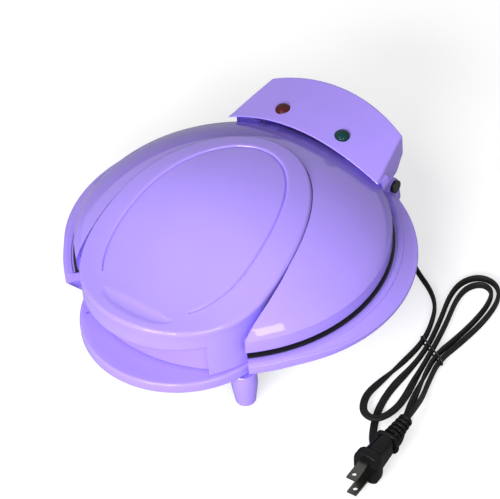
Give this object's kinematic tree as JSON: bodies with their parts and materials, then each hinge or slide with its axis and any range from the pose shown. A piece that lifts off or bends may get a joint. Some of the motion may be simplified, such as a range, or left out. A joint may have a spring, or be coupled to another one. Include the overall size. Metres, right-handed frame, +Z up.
{
  "type": "cake pop maker",
  "caption": "Round countertop cake pop maker: hinged domed lid with an oval overhanging grip, two plates of half-round cups, lamps on a rear housing, four feet and a tied mains cord.",
  "frame": {"origin": "on the floor below the middle of the body, the cord left out, midway between the tip of the front tongue and the back of the hinge housing", "axes": "+Z up from the floor, -Y towards the front where the grip overhangs, +Y towards the hinge, +X to the right seen from the front"},
  "size_m": [0.2772, 0.2364, 0.1006],
  "materials": {
    "purple_plastic": "gloss",
    "dark_plastic": "satin",
    "coated_metal": "satin non-stick coating",
    "element_metal": "satin",
    "plated_steel": "satin",
    "blade_metal": "polished",
    "red_lens": "gloss",
    "green_lens": "gloss",
    "lamp_glass": "gloss",
    "ceramic": "matte",
    "cord_cover": "satin"
  },
  "bodies": {
    "base": {"base_shell": "purple_plastic", "bottom_cover": "dark_plastic", "bottom_cover_screws": "plated_steel", "foot_front_right": "purple_plastic", "foot_front_left": "purple_plastic", "foot_rear_right": "purple_plastic", "foot_rear_left": "purple_plastic", "lower_plate": "coated_metal", "lower_element": "element_metal", "lower_shield": "plated_steel", "lower_posts": "plated_steel", "lower_shield_screws": "plated_steel", "thermostat": "ceramic", "thermal_fuse": "ceramic", "terminal_block": "ceramic", "hinge_pin_left": "plated_steel", "hinge_pin_right": "plated_steel", "cord_gland": "dark_plastic", "cord_lead": "cord_cover", "cord_hank": "cord_cover", "cord_tail": "cord_cover", "cord_tie": "dark_plastic", "plug_relief": "cord_cover", "plug_body": "cord_cover", "plug_blades": "blade_metal"},
    "lid": {"lid_shell": "purple_plastic", "lid_grip": "purple_plastic", "hinge_housing": "purple_plastic", "upper_plate": "coated_metal", "upper_element": "element_metal", "upper_shield": "plated_steel", "upper_posts": "plated_steel", "upper_shield_screws": "plated_steel", "red_lens": "red_lens", "green_lens": "green_lens", "red_lamp": "lamp_glass", "green_lamp": "lamp_glass", "lamp_holder": "dark_plastic", "grip_screws": "plated_steel", "housing_screws": "plated_steel"}
  },
  "joints": [
    {"name": "lid_hinge", "type": "hinge", "parent": "base", "child": "lid", "pos_m": [0, 0.09675, 0.0465], "axis": [-1, 0, 0], "range_deg": [0, 95]}
  ]
}
